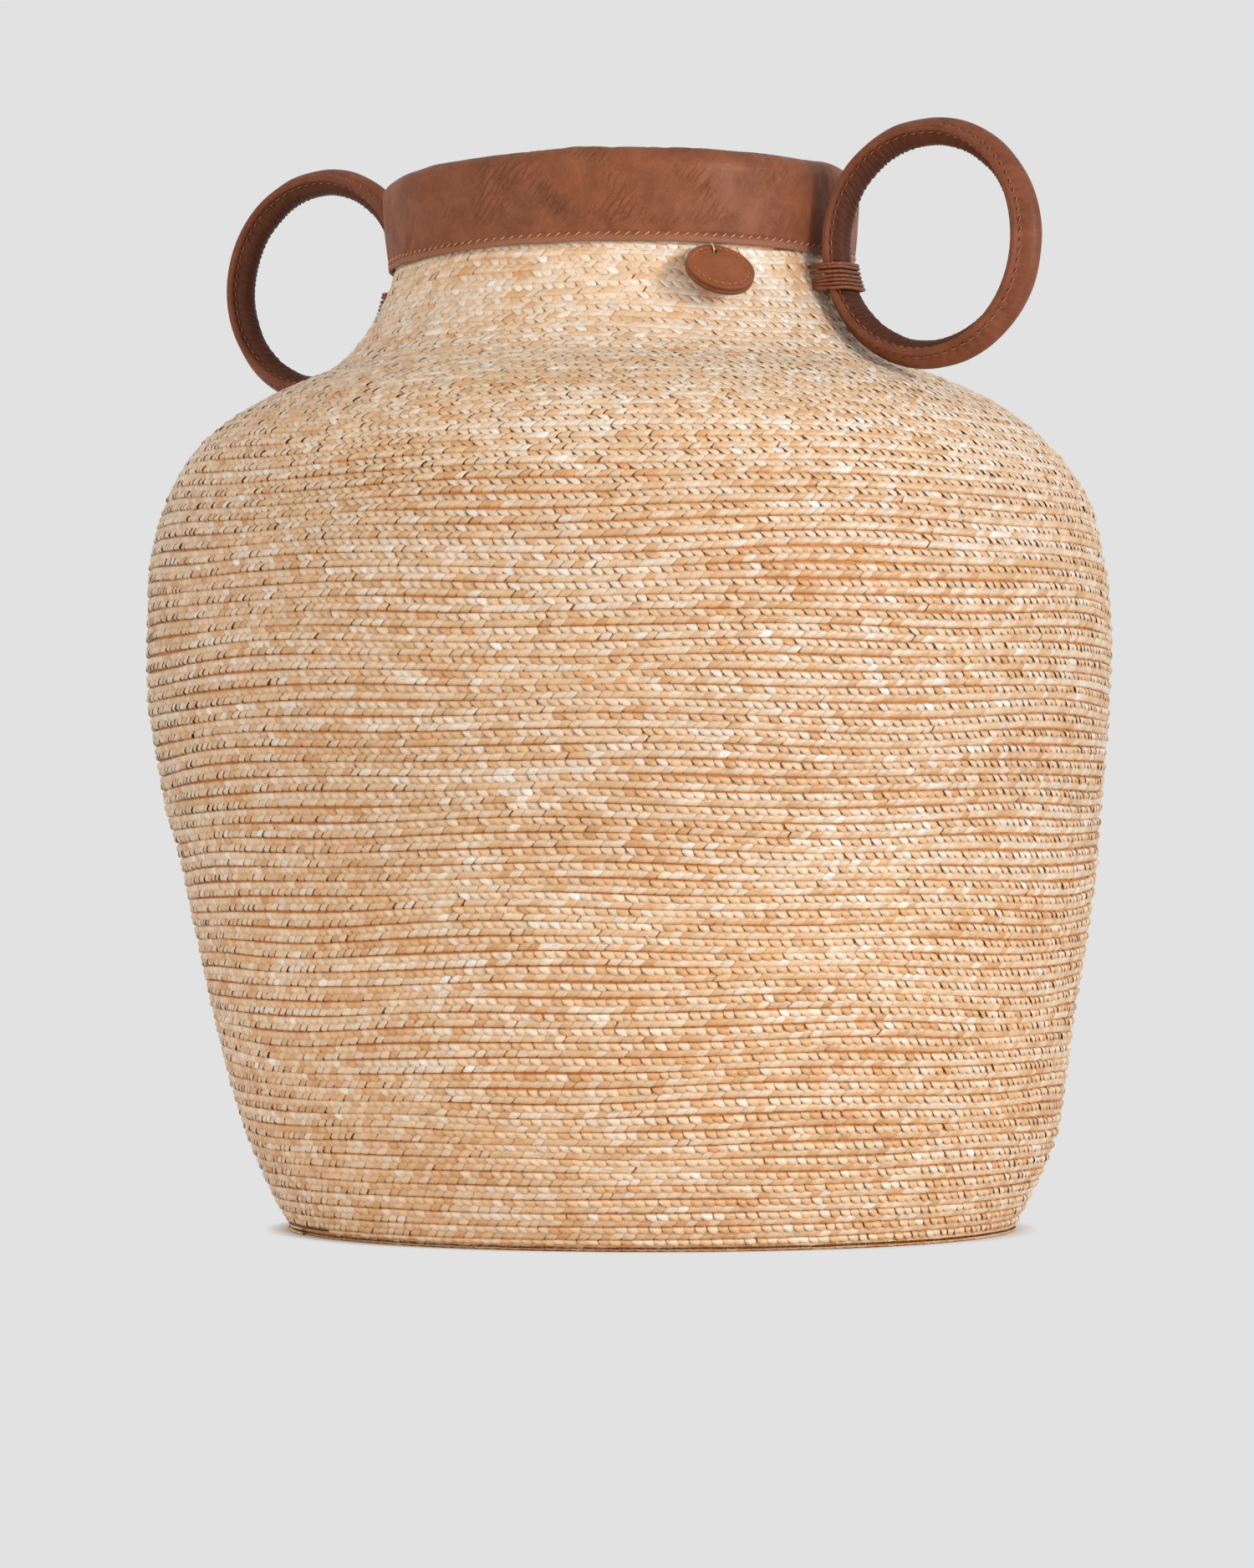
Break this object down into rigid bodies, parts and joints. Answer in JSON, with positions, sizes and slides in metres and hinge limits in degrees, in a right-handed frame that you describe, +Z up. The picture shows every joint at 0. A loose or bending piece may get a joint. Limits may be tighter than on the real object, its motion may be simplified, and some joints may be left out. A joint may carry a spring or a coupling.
{
  "type": "decorative basket",
  "caption": "Tall bellied straw-plait basket with a narrow neck, padded leather collar, ring handles lashed to the neck and a round leather tag.",
  "frame": {"origin": "middle of the flat underside that the basket rests on", "axes": "+Z up along the basket's height; +X from the left ring handle to the right one, along both rings; the rings' sewn flanges face -Y, the front"},
  "size_m": [0.4009, 0.392, 0.4409],
  "materials": {
    "straw_plait": "natural glossy straw",
    "brown_leather": "smooth satin",
    "waxed_cord": "waxed",
    "thread": "matt",
    "padding": "matt",
    "ring_core": "raw cane"
  },
  "bodies": {
    "basket": {"plait_wall": "straw_plait", "plait_base": "straw_plait", "collar_leather": "brown_leather", "collar_pad": "padding", "right_lashing": "waxed_cord", "left_lashing": "waxed_cord", "tag_loop": "thread"},
    "right_ring": {"right_ring_leather": "brown_leather", "right_ring_core": "ring_core"},
    "left_ring": {"left_ring_leather": "brown_leather", "left_ring_core": "ring_core"},
    "tag": {"tag_front": "brown_leather", "tag_back": "brown_leather"}
  },
  "joints": [
    {"name": "right_ring_swing", "type": "hinge", "parent": "basket", "child": "right_ring", "pos_m": [0.095, -0.0076, 0.38], "axis": [0, 0, 1], "range_deg": [-15, 15], "deforming": ["right_lashing"]},
    {"name": "left_ring_swing", "type": "hinge", "parent": "basket", "child": "left_ring", "pos_m": [-0.1201, -0.0076, 0.38], "axis": [0, 0, 1], "range_deg": [-15, 15], "deforming": ["left_lashing"]},
    {"name": "tag_lift", "type": "hinge", "parent": "basket", "child": "tag", "pos_m": [0.0667, -0.0593, 0.3888], "axis": [-0.565, -0.8251, 0], "range_deg": [-15, 25], "deforming": ["tag_loop"]}
  ]
}
